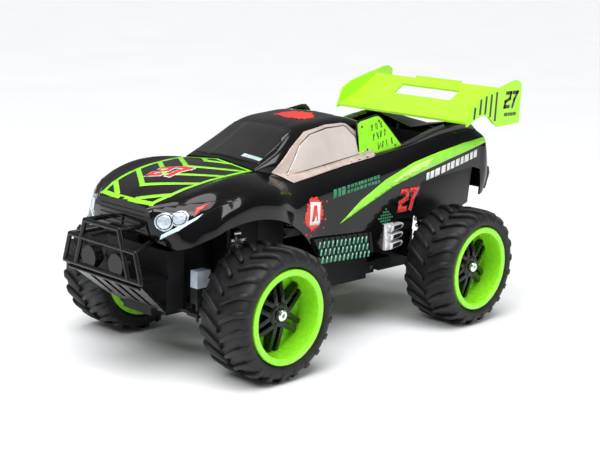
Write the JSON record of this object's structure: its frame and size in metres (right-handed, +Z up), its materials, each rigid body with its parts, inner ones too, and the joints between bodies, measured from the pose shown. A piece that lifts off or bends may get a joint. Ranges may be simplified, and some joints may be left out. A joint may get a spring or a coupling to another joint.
{
  "type": "remote control car",
  "caption": "Off-road remote control truck: black and lime shell, high rear wing, chunky chevron tyres, sprung steering front end and driven rear axle.",
  "frame": {"origin": "on the ground under the middle of the bounding box", "axes": "+Z up, -Y towards the nose, +X towards the truck's left side"},
  "size_m": [0.254, 0.484, 0.2435],
  "materials": {
    "body_black": "high gloss painted shell with lime and red stickers",
    "tinted_glass": "smooth dark tint",
    "window_film": "bright reflective film with silver border",
    "headlight_lens": "clear reflective lens print",
    "grille_black": "matt mesh print",
    "step_black": "satin with fine ribs",
    "exhaust_chrome": "plated",
    "wing_lime": "gloss moulded lime",
    "trim_black": "satin moulded black",
    "chassis_black": "satin moulded black",
    "knuckle_grey": "satin pale grey-blue",
    "steel": "plain turned steel",
    "spring_steel": "wound wire",
    "cell_wrap": "shrink film",
    "board_green": "coated board",
    "servo_black": "satin",
    "motor_can": "plated can",
    "brass": "cut teeth",
    "gear_white": "moulded teeth",
    "tyre_rubber": "matt rubber with chevron lugs",
    "rim_lime": "gloss moulded lime",
    "spoke_black": "satin moulded black",
    "screw_chrome": "plated"
  },
  "bodies": {
    "chassis": {"chassis_tub": "chassis_black", "battery_pack": "cell_wrap", "battery_door": "chassis_black", "receiver_board": "board_green", "steering_servo": "servo_black", "front_shock_tower": "chassis_black", "rear_shock_tower": "chassis_black", "body_shell": "body_black", "windscreen": "tinted_glass", "side_windows": "window_film", "headlights": "headlight_lens", "grille": "grille_black", "bull_bar": "trim_black", "skid_plate": "trim_black", "bumper_lamps": "trim_black", "wing_blade": "wing_lime", "wing_endplate_left": "wing_lime", "wing_endplate_right": "wing_lime", "wing_supports": "trim_black", "rear_bumper": "trim_black", "belly_screws": "steel", "side_steps": "step_black", "exhaust_tips": "exhaust_chrome", "suspension_pins": "steel", "front_shock_rods": "steel", "rear_shock_rods": "steel", "front_spring_left": "spring_steel", "front_spring_right": "spring_steel", "rear_springs": "spring_steel"},
    "power_switch": {"power_switch": "trim_black"},
    "steering_link": {"steering_link": "chassis_black"},
    "front_left_arm": {"front_left_arm": "chassis_black", "front_shock_body_left": "trim_black", "kingpins_left": "steel"},
    "knuckle_left": {"knuckle_left": "knuckle_grey", "front_left_wheel_screw": "screw_chrome"},
    "front_left_wheel": {"front_left_tyre": "tyre_rubber", "front_left_rim": "rim_lime", "front_left_spokes": "spoke_black"},
    "front_right_arm": {"front_right_arm": "chassis_black", "front_shock_body_right": "trim_black", "kingpins_right": "steel"},
    "knuckle_right": {"knuckle_right": "knuckle_grey", "front_right_wheel_screw": "screw_chrome"},
    "front_right_wheel": {"front_right_tyre": "tyre_rubber", "front_right_rim": "rim_lime", "front_right_spokes": "spoke_black"},
    "rear_axle": {"rear_axle_housing": "chassis_black", "rear_shock_bodies": "trim_black", "drive_motor": "motor_can"},
    "rear_wheels": {"rear_axle_shaft": "steel", "axle_gear": "gear_white", "rear_wheel_screws": "screw_chrome", "rear_left_tyre": "tyre_rubber", "rear_left_rim": "rim_lime", "rear_left_spokes": "spoke_black", "rear_right_tyre": "tyre_rubber", "rear_right_rim": "rim_lime", "rear_right_spokes": "spoke_black"},
    "motor_pinion": {"motor_pinion": "brass"}
  },
  "joints": [
    {"name": "power_switch_slide", "type": "slide", "parent": "chassis", "child": "power_switch", "axis": [0, 1, 0], "range_m": [0, 0.003]},
    {"name": "steering_link_slide", "type": "slide", "parent": "chassis", "child": "steering_link", "axis": [1, 0, 0], "range_m": [-0.0154, 0.0154]},
    {"name": "front_left_suspension", "type": "hinge", "parent": "chassis", "child": "front_left_arm", "pos_m": [0.024, -0.135, 0.05], "axis": [0, -1, 0], "range_deg": [-8, 8], "stiffness_Nm_per_rad": 3, "springref_deg": -4.3, "deforming": ["front_spring_left"]},
    {"name": "steer_left", "type": "hinge", "parent": "front_left_arm", "child": "knuckle_left", "pos_m": [0.062, -0.135, 0.06], "axis": [0, 0, 1], "range_deg": [-20, 20]},
    {"name": "front_left_wheel_spin", "type": "hinge", "parent": "knuckle_left", "child": "front_left_wheel", "pos_m": [0.1, -0.135, 0.06], "axis": [1, 0, 0], "continuous": true},
    {"name": "front_right_suspension", "type": "hinge", "parent": "chassis", "child": "front_right_arm", "pos_m": [-0.024, -0.135, 0.05], "axis": [0, 1, 0], "range_deg": [-8, 8], "stiffness_Nm_per_rad": 3, "springref_deg": -4.3, "deforming": ["front_spring_right"]},
    {"name": "steer_right", "type": "hinge", "parent": "front_right_arm", "child": "knuckle_right", "pos_m": [-0.062, -0.135, 0.06], "axis": [0, 0, 1], "range_deg": [-20, 20]},
    {"name": "front_right_wheel_spin", "type": "hinge", "parent": "knuckle_right", "child": "front_right_wheel", "pos_m": [-0.1, -0.135, 0.06], "axis": [1, 0, 0], "continuous": true},
    {"name": "rear_suspension", "type": "hinge", "parent": "chassis", "child": "rear_axle", "pos_m": [0, 0.068, 0.056], "axis": [1, 0, 0], "range_deg": [-8, 8], "stiffness_Nm_per_rad": 8, "springref_deg": -5.16, "deforming": ["rear_springs"]},
    {"name": "rear_wheel_spin", "type": "hinge", "parent": "rear_axle", "child": "rear_wheels", "pos_m": [0, 0.142, 0.06], "axis": [1, 0, 0], "continuous": true},
    {"name": "motor_pinion_spin", "type": "hinge", "parent": "rear_axle", "child": "motor_pinion", "pos_m": [0.0125, 0.12435, 0.06], "axis": [1, 0, 0], "continuous": true}
  ],
  "couplings": [
    {"joint": "steer_right", "follows": "steer_left", "ratio": 1},
    {"joint": "steering_link_slide", "follows": "steer_left", "m_per_rad": 0.044},
    {"joint": "motor_pinion_spin", "follows": "rear_wheel_spin", "ratio": -4}
  ]
}
